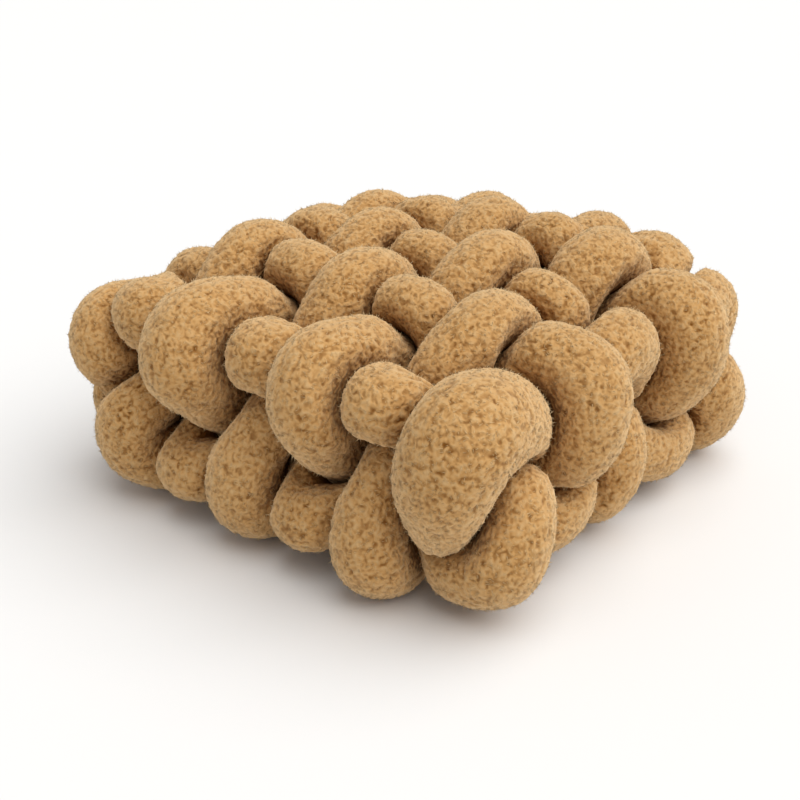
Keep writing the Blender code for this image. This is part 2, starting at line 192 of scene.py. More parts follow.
def lean_direction(edge_x, edge_y, layer, lean_x, lean_y):
    """The direction out of the cushion at a crossing, leaning outwards where it is on the rim."""
    outward = np.array([
        edge_x * math.tan(math.radians(lean_x)),
        edge_y * math.tan(math.radians(lean_y)),
        1.0 if layer == TOP else -1.0,
    ])
    return outward / np.linalg.norm(outward)


def pillow_point(i, j, layer):
    """The crossing's middle on the pillow shape, and the ways its outer and inner tube are moved."""
    edge_x = edge_sign(i, Y_TUBES)
    edge_y = edge_sign(j, X_TUBES)
    rim_x = RIM_X_TOP if layer == TOP else RIM_X_BOTTOM
    rim_y = RIM_Y_TOP if layer == TOP else RIM_Y_BOTTOM
    half_x = (Y_TUBES - 1) / 2
    half_y = (X_TUBES - 1) / 2
    x = (i - half_x) * Y_TUBE_PITCH + edge_x * rim_x.outset
    y = (j - half_y) * X_TUBE_PITCH + edge_y * rim_y.outset
    drop = max(abs(edge_x) * rim_x.drop, abs(edge_y) * rim_y.drop)
    if layer == TOP:
        dome = 1 - 0.5 * ((i - half_x) / half_x) ** 2 - 0.5 * ((j - half_y) / half_y) ** 2
        z = TOP_LEVEL + TOP_CROWN * dome - drop
    else:
        z = drop - BOTTOM_LEVEL
    outer_way = lean_direction(edge_x, edge_y, layer, rim_x.bulge_lean, rim_y.bulge_lean)
    inner_way = lean_direction(edge_x, edge_y, layer, rim_x.tuck_lean, rim_y.tuck_lean)
    return np.array([x, y, z + MIDDLE_HEIGHT]), outer_way, inner_way


def outer_radius(run, i, j):
    """Radius of the tube that lies outside at a crossing."""
    if run == "x":
        return RIM_RADIUS if edge_sign(i, Y_TUBES) else OUTER_RADIUS_X
    on_rim = edge_sign(i, Y_TUBES) or edge_sign(j, X_TUBES)
    return RIM_RADIUS if on_rim else OUTER_RADIUS_Y


def outer_bulge(run, i, j, layer):
    """How far the centreline of the tube that lies outside swings out at a crossing."""
    if run == "x" and edge_sign(i, Y_TUBES):
        return (RIM_X_TOP if layer == TOP else RIM_X_BOTTOM).bulge
    if run == "y" and edge_sign(j, X_TUBES):
        return (RIM_Y_TOP if layer == TOP else RIM_Y_BOTTOM).bulge
    return WEAVE_DEPTH


def inner_tuck(i, j, layer):
    """How far the centreline of the tube that lies inside swings in at a crossing."""
    if edge_sign(i, Y_TUBES):
        return (RIM_X_TOP if layer == TOP else RIM_X_BOTTOM).tuck
    if edge_sign(j, X_TUBES):
        return (RIM_Y_TOP if layer == TOP else RIM_Y_BOTTOM).tuck
    return WEAVE_DEPTH


def crossings_of(tube):
    """The crossings that a tube passes, in order: along the top, then back along the bottom."""
    if tube.run == "x":
        along = [(i, tube.index) for i in range(Y_TUBES)]
    else:
        along = [(tube.index, j) for j in range(X_TUBES)]
    return [(i, j, TOP) for i, j in along] + [(i, j, BOTTOM) for i, j in reversed(along)]


def control_point(tube, i, j, layer):
    """A centreline's place, radius and outward direction at a crossing, and 1 if it lies outside."""
    middle, outer_way, inner_way = pillow_point(i, j, layer)
    middle = middle + np.array([wander(i, j, layer, axis) for axis in range(3)])
    outside = x_lies_outside(i, j, layer) == (tube.run == "x")
    if outside:
        way = outer_way
        point = middle + outer_way * outer_bulge(tube.run, i, j, layer)
        radius = outer_radius(tube.run, i, j)
    else:
        way = inner_way
        point = middle - inner_way * inner_tuck(i, j, layer)
        radius = TUCKED_RADIUS
    for lobe in UNEVEN_LOBES:
        if (lobe.run, lobe.i, lobe.j, lobe.layer) == (tube.run, i, j, layer):
            point = point + np.array([lobe.move_x, lobe.move_y, lobe.move_z]) / 1000
            radius = radius * lobe.fatness
    return point, radius, way, float(outside)


def closed_spline(values, knots, at):
    """Smooth closed curve through values at the knots (the last knot is the period), read at at."""
    count = len(values)
    step = np.diff(knots)
    matrix = np.zeros((count, count))
    right = np.zeros((count, values.shape[1]))
    for here in range(count):
        before = (here - 1) % count
        after = (here + 1) % count
        matrix[here, before] += step[before]
        matrix[here, here] += 2 * (step[before] + step[here])
        matrix[here, after] += step[here]
        rise = (values[after] - values[here]) / step[here]
        fall = (values[here] - values[before]) / step[before]
        right[here] = 6 * (rise - fall)
    bend = np.linalg.solve(matrix, right)
    at = np.mod(at, knots[-1])
    low = np.clip(np.searchsorted(knots, at, side="right") - 1, 0, count - 1)
    high = (low + 1) % count
    span = step[low][:, None]
    to_high = (knots[low + 1] - at)[:, None]
    from_low = (at - knots[low])[:, None]
    cubic = (bend[low] * to_high ** 3 + bend[high] * from_low ** 3) / (6 * span)
    linear = (values[low] / span - bend[low] * span / 6) * to_high
    linear = linear + (values[high] / span - bend[high] * span / 6) * from_low
    return cubic + linear


def read_line(line, at):
    """A closed centreline read at other lengths along it."""
    knots = np.append(line.lengths, line.total)
    columns = np.column_stack([line.points, line.radii, line.outward, line.shown])
    read = closed_spline(columns, knots, at)
    return Line(read[:, :3], read[:, 3], read[:, 4:7], read[:, 7], at, line.total)


def centreline(tube):
    """A tube's centreline with the same number of points from each crossing to the next."""
    controls = [control_point(tube, *crossing) for crossing in crossings_of(tube)]
    points = np.array([control[0] for control in controls])
    radii = np.array([control[1] for control in controls])
    outward = np.array([control[2] for control in controls])
    shown = np.array([control[3] for control in controls])
    chords = np.linalg.norm(np.roll(points, -1, axis=0) - points, axis=1)
    knots = np.concatenate([[0.0], np.cumsum(chords)])
    shares = np.arange(SAMPLES_PER_CROSSING) / SAMPLES_PER_CROSSING
    at = (knots[:-1, None] + chords[:, None] * shares).ravel()
    coarse = Line(points, radii, outward, shown, knots[:-1], knots[-1])
    return read_line(coarse, at)


def smoothed(values, steps):
    """Values round a closed line, each shared out over its neighbours, steps times."""
    for _ in range(steps):
        values = (np.roll(values, 1, axis=0) + 2 * values + np.roll(values, -1, axis=0)) / 4
    return values


def settled(lines):
    """Centrelines eased apart where tubes are closer than stuffing can be pressed."""
    tubes = list(lines)
    counts = [len(lines[tube].points) for tube in tubes]
    ends = np.cumsum(counts)
    points = np.concatenate([lines[tube].points for tube in tubes])
    radii = np.concatenate([lines[tube].radii for tube in tubes])
    closest = PRESSED_SHARE * (radii[:, None] + radii[None, :])
    for tube, count, end in zip(tubes, counts, ends):
        lengths = lines[tube].lengths
        apart = np.abs(lengths[:, None] - lengths[None, :])
        apart = np.minimum(apart, lines[tube].total - apart)
        own = slice(end - count, end)
        closest[own, own][apart < OWN_REACH * radii[own, None]] = 0.0
    every = np.arange(len(points))
    for _ in range(SETTLING_STEPS):
        offset = points[:, None, :] - points[None, :, :]
        distance = np.linalg.norm(offset, axis=2) + LEAST_DISTANCE
        shortfall = closest - distance
        worst = shortfall.argmax(axis=1)
        strength = np.maximum(shortfall[every, worst], 0.0) / distance[every, worst]
        push = offset[every, worst] * strength[:, None] * SETTLING_RATE
        sunk = np.maximum(radii - REST_PRESS - points[:, 2], 0.0)
        push[:, 2] += sunk * SETTLING_RATE
        for count, end in zip(counts, ends):
            own = slice(end - count, end)
            points[own] += smoothed(push[own], SETTLING_SPREAD)
    settled_lines = {}
    for tube, count, end in zip(tubes, counts, ends):
        settled_lines[tube] = lines[tube]._replace(points=points[end - count:end])
    return settled_lines


def all_tubes():
    """Every tube of the cushion, X tubes first."""
    tubes = [Tube(f"tube_x_{index + 1}", "x", index) for index in range(X_TUBES)]
    return tubes + [Tube(f"tube_y_{index + 1}", "y", index) for index in range(Y_TUBES)]


# ---------------------------------------------------------------- the tubes' skins
def section_lengths(line):
    """Where along a tube its cross-sections stand: close together where the tube shows."""
    closeness = 1 + (SHOWN_DENSITY - 1) * np.clip(SHOWN_SPREAD * line.shown, 0.0, 1.0)
    spans = np.diff(np.append(line.lengths, line.total))
    steps = spans * (closeness + np.roll(closeness, -1)) / 2
    climbed = np.concatenate([[0.0], np.cumsum(steps)])
    wanted = climbed[-1] * np.arange(SECTIONS) / SECTIONS
    return np.interp(wanted, climbed, np.append(line.lengths, line.total))


def around_points(lines):
    """Evenly spaced points of all centrelines, with the tube each belongs to."""
    points, radii, owner, lengths = [], [], [], []
    for number, line in enumerate(lines.values()):
        at = np.linspace(0.0, line.total, int(line.total / AROUND_SPACING), endpoint=False)
        read = read_line(line, at)
        points.append(read.points)
        radii.append(read.radii)
        owner.append(np.full(len(at), number))
        lengths.append(at)
    return Around(*(np.concatenate(part) for part in (points, radii, owner, lengths)))


def section_axes(line):
    """For each section, the direction out of the cushion and the one to the side."""
    along = np.roll(line.points, -1, axis=0) - np.roll(line.points, 1, axis=0)
    along /= np.linalg.norm(along, axis=1)[:, None]
    outward = line.outward - np.sum(line.outward * along, axis=1)[:, None] * along
    outward /= np.linalg.norm(outward, axis=1)[:, None]
    return outward, np.cross(along, outward)


def soft_minimum(first, second, rounding):
    """The smaller of two lengths, rounded off where they are alike; never more than either."""
    overlap = np.maximum(rounding - np.abs(first - second), 0.0)
    return np.minimum(first, second) - overlap ** 2 / (4 * rounding)


def pressed_reach(line, directions, around, number, contact_gap):
    """How far each direction can go before the point is nearer to another tube than to its own."""
    limits = []
    for start in range(0, len(line.points), SECTIONS_AT_ONCE):
        part = slice(start, start + SECTIONS_AT_ONCE)
        centres = line.points[part]
        middle = centres.mean(axis=0)
        near = np.linalg.norm(around.points - middle, axis=1) < AROUND_REACH
        points = around.points[near]
        apart = np.abs(line.lengths[part, None] - around.lengths[near])
        apart = np.minimum(apart, line.total - apart)
        own = (around.owner[near] == number) & (apart < OWN_REACH * line.radii[part, None])
        offset = points[None, :, :] - centres[:, None, :]
        distance = np.where(own, 1.0, np.linalg.norm(offset, axis=2))
        radius_term = line.radii[part, None] ** 2 - around.radii[near] ** 2
        plane = (distance + radius_term / distance) / 2 - contact_gap / 2
        toward = np.matmul(directions[part], offset.transpose(0, 2, 1)) / distance[:, None, :]
        facing = (toward > LEAST_FACING) & ~own[:, None, :]
        limit = np.where(facing, plane[:, None, :] / np.maximum(toward, LEAST_FACING), np.inf)
        limits.append(limit.min(axis=2))
    return np.concatenate(limits)


def corner_angles():
    """Angles of a section's corners from the outward direction, gathered where it shows."""
    turn = 2 * (np.arange(SIDES) + 0.5) / SIDES - 1
    shown = math.radians(SHOWN_ANGLE)
    turns = (-1, -SHOWN_CORNERS, SHOWN_CORNERS, 1)
    return np.interp(turn, turns, (-math.pi, -shown, shown, math.pi))


def tube_skin(line, around, number, contact_gap):
    """The corners of all cross-sections, and how near a pressed face each of them is, 0 to 1."""
    outward, sideways = section_axes(line)
    angles = corner_angles()
    directions = outward[:, None, :] * np.cos(angles)[None, :, None]
    directions = directions + sideways[:, None, :] * np.sin(angles)[None, :, None]
    inner_side = np.maximum(-np.cos(angles), 0.0) ** 2
    relaxed = line.radii[:, None] * (1 + INNER_STRETCH * inner_side)[None, :]
    pressed = pressed_reach(line, directions, around, number, contact_gap)
    reach = soft_minimum(relaxed, pressed, CONTACT_ROUNDING)
    down = -directions[:, :, 2]
    sinking = down > LEAST_FACING
    floor = line.points[:, None, 2] / np.maximum(down, LEAST_FACING)
    on_floor = sinking & (floor < reach)
    above_floor = np.where(sinking, floor, np.inf)
    free = np.clip((np.minimum(pressed, above_floor) - reach) / FREE_MARGIN, 0.0, 1.0)
    reach = np.where(on_floor, floor, reach)
    corners = line.points[:, None, :] + directions * reach[:, :, None]
    corners[:, :, 2] = np.where(on_floor, 0.0, corners[:, :, 2])
    return corners + np.array(CENTRE_SHIFT), 1 - free


def tube_mesh(name, corners, pressed):
    """One closed tube from its rings of corners, with the pressed attribute on its corners."""
    sections, sides = pressed.shape
    ring = np.arange(sections)[:, None] * sides
    following = np.roll(ring, -1, axis=0)
    side = np.arange(sides)[None, :]
    beside = np.roll(side, -1, axis=1)
    faces = np.stack([ring + side, ring + beside, following + beside, following + side], axis=2)
    mesh = bpy.data.meshes.new(name)
    mesh.from_pydata(corners.reshape(-1, 3).tolist(), [], faces.reshape(-1, 4).tolist())
    mesh.shade_smooth()
    attribute = mesh.attributes.new("pressed", "FLOAT", "POINT")
    attribute.data.foreach_set("value", pressed.ravel().astype(np.float32))
    mesh.update()
    return mesh


# ---------------------------------------------------------------- node helpers
# Sockets are called by name, or by number where several sockets of a node have the same name.
def add_node(tree, kind, inputs=None, **settings):
    """A node with its settings and inputs; each input is given a value or another node's output."""
    node = tree.nodes.new(kind)
    for name, value in settings.items():
        setattr(node, name, value)
    for name, value in (inputs or {}).items():
        if isinstance(value, bpy.types.NodeSocket):
            tree.links.new(value, node.inputs[name])
        else:
            node.inputs[name].default_value = value
    return node


def maths(tree, operation, *values):
    """The result of a Math node on values or sockets."""
    inputs = dict(enumerate(values))
    return add_node(tree, "ShaderNodeMath", inputs, operation=operation).outputs[0]


def vectors(tree, operation, *values):
    """The vector result of a Vector Math node on values or sockets."""
    inputs = dict(enumerate(values))
    return add_node(tree, "ShaderNodeVectorMath", inputs, operation=operation).outputs[0]


def scaled(tree, vector, factor):
    """A vector times a number."""
    inputs = {0: vector, "Scale": factor}
    return add_node(tree, "ShaderNodeVectorMath", inputs, operation="SCALE").outputs[0]


def ramp(tree, value, low, high):
    """A value brought from the range low to high into 0 to 1, with soft ends."""
    inputs = {"Value": value, "From Min": low, "From Max": high}
    node = add_node(tree, "ShaderNodeMapRange", inputs, interpolation_type="SMOOTHSTEP")
    return node.outputs["Result"]


def rounded_hill(tree, distance, reach):
    """1 at distance 0, falling off roundly to 0 at reach."""
    share = maths(tree, "DIVIDE", distance, reach)
    hill = maths(tree, "SUBTRACT", 1.0, maths(tree, "MULTIPLY", share, share))
    return maths(tree, "MAXIMUM", hill, 0.0)


# ---------------------------------------------------------------- the curls' pattern
CURL_SWIRL = 0.7           # how far the folds wind, in curl sizes
FOLDS_PER_CURL = 1.3       # how much closer the folds lie than the curl size
FOLD_FOOT = 0.18           # the noise's value at the foot of a fold
FOLD_CREST = 0.78          # and at its crest
FOLD_SHARE = 0.7           # share of the height that the folds make, the nubs make the rest
NUB_REACH = 0.9            # how far a nub reaches, in curl sizes
NO_SHIFT = (0.0, 0.0, 0.0)
FINE_SHIFT = (0.8, 1.36, 0.0)   # keeps the fine curls from lining up with the large ones


def curl_pattern(tree, place, curl_size, shift):
    """Height 0 to 1 of pile curls of a size at a place: winding, rounded folds with nubs on them."""
    moved = vectors(tree, "ADD", place, shift)
    fine = maths(tree, "DIVIDE", 1.0, curl_size)
    swirl = add_node(tree, "ShaderNodeTexNoise", {"Vector": moved, "Scale": fine, "Detail": 0.0})
    push = vectors(tree, "SUBTRACT", swirl.outputs["Color"], (0.5, 0.5, 0.5))
    push = scaled(tree, push, maths(tree, "MULTIPLY", curl_size, CURL_SWIRL))
    twisted = vectors(tree, "ADD", moved, push)
    folds_scale = maths(tree, "MULTIPLY", fine, FOLDS_PER_CURL)
    inputs = {"Vector": twisted, "Scale": folds_scale, "Detail": 0.0}
    folds = add_node(tree, "ShaderNodeTexNoise", inputs)
    fold = ramp(tree, folds.outputs["Fac"], FOLD_FOOT, FOLD_CREST)
    cells = add_node(tree, "ShaderNodeTexVoronoi", {"Vector": twisted, "Scale": fine}, feature="F1")
    nub = rounded_hill(tree, cells.outputs["Distance"], NUB_REACH)
    nub_height = maths(tree, "MULTIPLY", nub, 1 - FOLD_SHARE)
    return maths(tree, "MULTIPLY_ADD", fold, FOLD_SHARE, nub_height)


# ---------------------------------------------------------------- geometry nodes: the pile
PRESSED_RISE = 0.25        # share of the curls' height that is left where tubes are pressed
FIBRES_START = 0.3         # fibres stand only where the skin is freer than this, fully at 1
FIBRES_ABOVE = 0.003       # height over the floor below which no fibre stands
FIBRES_FULL = 0.012        # and above which they all do
FIBRE_LEAN = 1.25          # how far a fibre may lean either way, in radians
FIBRE_TURN = 3.1           # how far it may turn about itself, in radians
FIBRE_SHORTEST = 0.55      # the range of the fibres' scale
FIBRE_LONGEST = 1.25


def add_pile_inputs(tree):
    """The tree's named inputs and its output."""
    sockets = (
        ("Geometry", "NodeSocketGeometry", None),
        ("Curl Size", "NodeSocketFloat", 0.004),
        ("Pile Depth", "NodeSocketFloat", 0.0015),
        ("Fibres per Square Metre", "NodeSocketFloat", 20000.0),
        ("Fibre Length", "NodeSocketFloat", 0.0035),
        ("Fibre Thickness", "NodeSocketFloat", 0.0004),
        ("Seed", "NodeSocketInt", 1),
        ("Material", "NodeSocketMaterial", None),
    )
    for name, kind, default in sockets:
        socket = tree.interface.new_socket(name, in_out="INPUT", socket_type=kind)
        if default is not None:
            socket.default_value = default
    tree.interface.new_socket("Geometry", in_out="OUTPUT", socket_type="NodeSocketGeometry")


def with_attribute(tree, geometry, name, value, kind):
    """Geometry with a value stored on its points under a name."""
    inputs = {"Geometry": geometry, "Name": name, "Value": value}
    node = add_node(tree, "GeometryNodeStoreNamedAttribute", inputs, data_type=kind, domain="POINT")
    return node.outputs["Geometry"]


def raised_curls(tree, given, place, free):
    """The skin with its curls raised along the normal, less where it is pressed."""
    normal = add_node(tree, "GeometryNodeInputNormal").outputs["Normal"]
    curls = curl_pattern(tree, place, given["Curl Size"], NO_SHIFT)
    rise = maths(tree, "MULTIPLY", maths(tree, "SUBTRACT", curls, 0.5), given["Pile Depth"])
    freedom = maths(tree, "ADD", PRESSED_RISE, maths(tree, "MULTIPLY", free, 1 - PRESSED_RISE))
    rise = maths(tree, "MULTIPLY", rise, freedom)
    inputs = {"Geometry": given["Geometry"], "Offset": scaled(tree, normal, rise)}
    return add_node(tree, "GeometryNodeSetPosition", inputs).outputs[0]


def loose_fibres(tree, given, skin, place, free):
    """Short leaning fibres all over the free parts of a skin, which keep its normal as an attribute."""
    freedom = ramp(tree, free, FIBRES_START, 1.0)
    density = maths(tree, "MULTIPLY", given["Fibres per Square Metre"], freedom)
    height = add_node(tree, "ShaderNodeSeparateXYZ", {0: place}).outputs["Z"]
    density = maths(tree, "MULTIPLY", density, ramp(tree, height, FIBRES_ABOVE, FIBRES_FULL))
    roots = add_node(tree, "GeometryNodeDistributePointsOnFaces",
                     {"Mesh": skin, "Density": density, "Seed": given["Seed"]}).outputs
    points = with_attribute(tree, roots["Points"], "root_normal", roots["Normal"], "FLOAT_VECTOR")
    cone = add_node(tree, "GeometryNodeMeshCone",
                    {"Vertices": 3, "Radius Top": 0.0, "Radius Bottom": given["Fibre Thickness"],
                     "Depth": given["Fibre Length"]}, fill_type="NONE")
    fibre = with_attribute(tree, cone.outputs["Mesh"], "loose", 1.0, "FLOAT")
    most = (FIBRE_LEAN, FIBRE_LEAN, FIBRE_TURN)
    least = (-FIBRE_LEAN, -FIBRE_LEAN, -FIBRE_TURN)
    lean = add_node(tree, "FunctionNodeRandomValue", {0: least, 1: most, "Seed": given["Seed"]},
                    data_type="FLOAT_VECTOR")
    leaned = add_node(tree, "FunctionNodeRotateRotation",
                      {"Rotation": roots["Rotation"], "Rotate By": lean.outputs[0]},
                      rotation_space="LOCAL")
    size = add_node(tree, "FunctionNodeRandomValue",
                    {2: FIBRE_SHORTEST, 3: FIBRE_LONGEST, "Seed": given["Seed"]}, data_type="FLOAT")
    return add_node(tree, "GeometryNodeInstanceOnPoints",
                    {"Points": points, "Instance": fibre,
                     "Rotation": leaned.outputs[0], "Scale": size.outputs[1]}).outputs[0]


def pile_tree():
    """Geometry nodes that raise curls from a tube's skin and scatter loose fibres over it."""
    tree = bpy.data.node_groups.new("curly_pile_geometry", "GeometryNodeTree")
    add_pile_inputs(tree)
    given = add_node(tree, "NodeGroupInput").outputs
    place = add_node(tree, "GeometryNodeInputPosition").outputs["Position"]
    pressed = add_node(tree, "GeometryNodeInputNamedAttribute", {"Name": "pressed"},
                       data_type="FLOAT")
    free = maths(tree, "SUBTRACT", 1.0, pressed.outputs["Attribute"])
    skin = raised_curls(tree, given, place, free)
    fibres = loose_fibres(tree, given, skin, place, free)
    real = add_node(tree, "GeometryNodeRealizeInstances", {"Geometry": fibres})
    joined = add_node(tree, "GeometryNodeJoinGeometry")
    tree.links.new(real.outputs[0], joined.inputs[0])
    tree.links.new(skin, joined.inputs[0])
    dressed = add_node(tree, "GeometryNodeSetMaterial",
                       {"Geometry": joined.outputs[0], "Material": given["Material"]})
    ending = add_node(tree, "NodeGroupOutput")
    tree.links.new(dressed.outputs[0], ending.inputs[0])
    return tree


def with_pile(name, mesh, tree, settings, material, seed):
    """The tube's piece: its skin after the geometry nodes, as a plain mesh."""
    bare = bpy.data.objects.new(name + "_bare", mesh)
    bpy.context.scene.collection.objects.link(bare)
    modifier = bare.modifiers.new("pile", "NODES")
    modifier.node_group = tree
    values = {
        "Curl Size": settings.curl_size,
        "Pile Depth": settings.pile_depth,
        "Fibres per Square Metre": settings.fibre_density,
        "Fibre Length": settings.fibre_length,
        "Fibre Thickness": settings.fibre_thickness,
        "Seed": seed,
        "Material": material,
    }
    for item in tree.interface.items_tree:
        if item.item_type == "SOCKET" and item.in_out == "INPUT" and item.name in values:
            modifier[item.identifier] = values[item.name]
    evaluated = bare.evaluated_get(bpy.context.evaluated_depsgraph_get())
    final = bpy.data.meshes.new_from_object(evaluated)
    final.name = name
    final.materials.clear()
    final.materials.append(material)
    bpy.data.objects.remove(bare)
    final.shade_smooth()
    piece = bpy.data.objects.new(name, final)
    bpy.context.scene.collection.objects.link(piece)
    return piece


# ---------------------------------------------------------------- materials
CLUMPS_PER_CURL = 0.7      # clumps of curls of a like shade, along a curl size
BLOTCHES_PER_METRE = 26.0
BLOTCH_LOW = 0.3           # the noise's value where a blotch starts
BLOTCH_HIGH = 0.7          # and where it is full
BLOTCH_FADE = 0.12         # how far a full blotch fades towards the tips' colour
CURL_HEIGHT = 0.75         # share of the large curls in the bump, the fine ones make the rest
SHADE_LEVEL = -0.36        # the shade is this plus the shares of the curls, fine curls and clumps
CURL_SHADE = 0.76
FINE_SHADE = 0.12
CLUMP_SHADE = 0.7
PAINTED_CREASE_SHADE = -0.6        # painted shade: how much darker a fully pressed face is painted, for the shade in the creases
BUMP_DEPTH = 0.0012
SHEEN_START = 0.1          # how far a face turns away before its sheen sets in, 0 to 1
SHEEN_FULL = 0.85          # and where it is full


def pile_shader_group():
    """Shader group: the curls' height and shade and broad blotches, from the place on the piece."""
    group = bpy.data.node_groups.new("curly_pile", "ShaderNodeTree")
    group.interface.new_socket("Place", in_out="INPUT", socket_type="NodeSocketVector")
    for name in ("Curl Size", "Fine Curl Size"):
        group.interface.new_socket(name, in_out="INPUT", socket_type="NodeSocketFloat")
    for name in ("Height", "Shade", "Blotch"):
        group.interface.new_socket(name, in_out="OUTPUT", socket_type="NodeSocketFloat")
    given = add_node(group, "NodeGroupInput").outputs
    place = given["Place"]
    curls = curl_pattern(group, place, given["Curl Size"], NO_SHIFT)
    fine = curl_pattern(group, place, given["Fine Curl Size"], FINE_SHIFT)
    clump_scale = maths(group, "DIVIDE", CLUMPS_PER_CURL, given["Curl Size"])
    clumps = add_node(group, "ShaderNodeTexNoise",
                      {"Vector": place, "Scale": clump_scale, "Detail": 1.0})
    patches = add_node(group, "ShaderNodeTexNoise",
                       {"Vector": place, "Scale": BLOTCHES_PER_METRE, "Detail": 2.0})
    blotch = ramp(group, patches.outputs["Fac"], BLOTCH_LOW, BLOTCH_HIGH)
    fine_height = maths(group, "MULTIPLY", fine, 1 - CURL_HEIGHT)
    height = maths(group, "MULTIPLY_ADD", curls, CURL_HEIGHT, fine_height)
    # the shade is low in the curls' pits, where the pit colour paints their shade, and varies at random
    # with the clumps
    shade = maths(group, "MULTIPLY_ADD", curls, CURL_SHADE, SHADE_LEVEL)
    shade = maths(group, "MULTIPLY_ADD", fine, FINE_SHADE, shade)
    shade = maths(group, "MULTIPLY_ADD", clumps.outputs["Fac"], CLUMP_SHADE, shade)
    ending = add_node(group, "NodeGroupOutput")
    group.links.new(height, ending.inputs["Height"])
    group.links.new(shade, ending.inputs["Shade"])
    group.links.new(blotch, ending.inputs["Blotch"])
    return group


def mixed(tree, factor, first, second):
    """Two colours mixed by a factor."""
    node = add_node(tree, "ShaderNodeMix", {0: factor, 6: first, 7: second}, data_type="RGBA")
    return node.outputs[2]


def attribute(tree, name, output="Fac"):
    """An attribute of the mesh, read in a material."""
    return add_node(tree, "ShaderNodeAttribute", attribute_name=name).outputs[output]


def pile_colour(tree, settings, pile, pressed, loose):
    """The pile's colour: pits below half the shade, tips above it, and paler loose fibres. Painted
    shade darkens the pits and the pressed creases, and the fibres' paleness is partly a painted
    highlight.
    """
    tones = (settings.pit_tone_and_painted_shade, settings.pile_colour, settings.tip_colour, settings.fibre_tone_and_painted_highlight)
    pit, middle, tip, fibre = ((*tone, 1) for tone in tones)
    # painted shade: pressed creases are darkened towards the pit colour, for the shade between the
    # tubes
    shade = maths(tree, "MULTIPLY_ADD", pressed, PAINTED_CREASE_SHADE, pile["Shade"])
    dark = mixed(tree, maths(tree, "MULTIPLY", shade, 2.0), pit, middle)
    colour = mixed(tree, maths(tree, "MULTIPLY_ADD", shade, 2.0, -1.0), dark, tip)
    colour = mixed(tree, maths(tree, "MULTIPLY", pile["Blotch"], BLOTCH_FADE), colour, tip)
    # loose fibres take the fibre colour, partly a painted highlight that pales the rims
    return mixed(tree, loose, colour, fibre)


def pile_normal(tree, height, loose):
    """The skin's bumpy normal, and for a loose fibre that of the skin it stands on."""
    bump = add_node(tree, "ShaderNodeBump",
                    {"Strength": 1.0, "Distance": BUMP_DEPTH, "Height": height}).outputs["Normal"]
    inputs = {0: loose, 4: bump, 5: attribute(tree, "root_normal", "Vector")}
    return add_node(tree, "ShaderNodeMix", inputs, data_type="VECTOR").outputs[1]


def pile_sheen(tree, settings, pressed):
    """Sheen where the pile turns away from the view, except in the creases."""
    turned = add_node(tree, "ShaderNodeLayerWeight", {"Blend": 0.5}).outputs["Facing"]
    sheen = maths(tree, "MULTIPLY", ramp(tree, turned, SHEEN_START, SHEEN_FULL), settings.sheen)
    return maths(tree, "MULTIPLY", sheen, maths(tree, "SUBTRACT", 1.0, pressed))


def curly_pile_fabric(settings):
    """The cushion's fabric: a curly pile with dark pits, partly painted shade, paler tips and a soft
    sheen.
    """
    material = bpy.data.materials.new("curly_pile_fabric")
    material.use_nodes = True
    tree = material.node_tree
    shader = tree.nodes["Principled BSDF"].inputs
    place = add_node(tree, "ShaderNodeTexCoord").outputs["Object"]
    sizes = {"Place": place, "Curl Size": settings.curl_size,
             "Fine Curl Size": settings.fine_curl_size}
    pile = add_node(tree, "ShaderNodeGroup", sizes, node_tree=pile_shader_group()).outputs
    pressed = attribute(tree, "pressed")
    loose = attribute(tree, "loose")
    tree.links.new(pile_colour(tree, settings, pile, pressed, loose), shader["Base Color"])
    tree.links.new(pile_normal(tree, pile["Height"], loose), shader["Normal"])
    tree.links.new(pile_sheen(tree, settings, pressed), shader["Sheen Weight"])
    shader["Roughness"].default_value = 0.95
    shader["Specular IOR Level"].default_value = 0.05
    shader["Sheen Roughness"].default_value = 0.75
    shader["Sheen Tint"].default_value = (1.0, 0.76, 0.46, 1.0)
    return material


def plain_material(name, colour, roughness):
    """A plain matt colour."""
    material = bpy.data.materials.new(name)
    material.use_nodes = True
    shader = material.node_tree.nodes["Principled BSDF"]
    shader.inputs["Base Color"].default_value = (*colour, 1)
    shader.inputs["Roughness"].default_value = roughness
    shader.inputs["Specular IOR Level"].default_value = 0.1
    return material


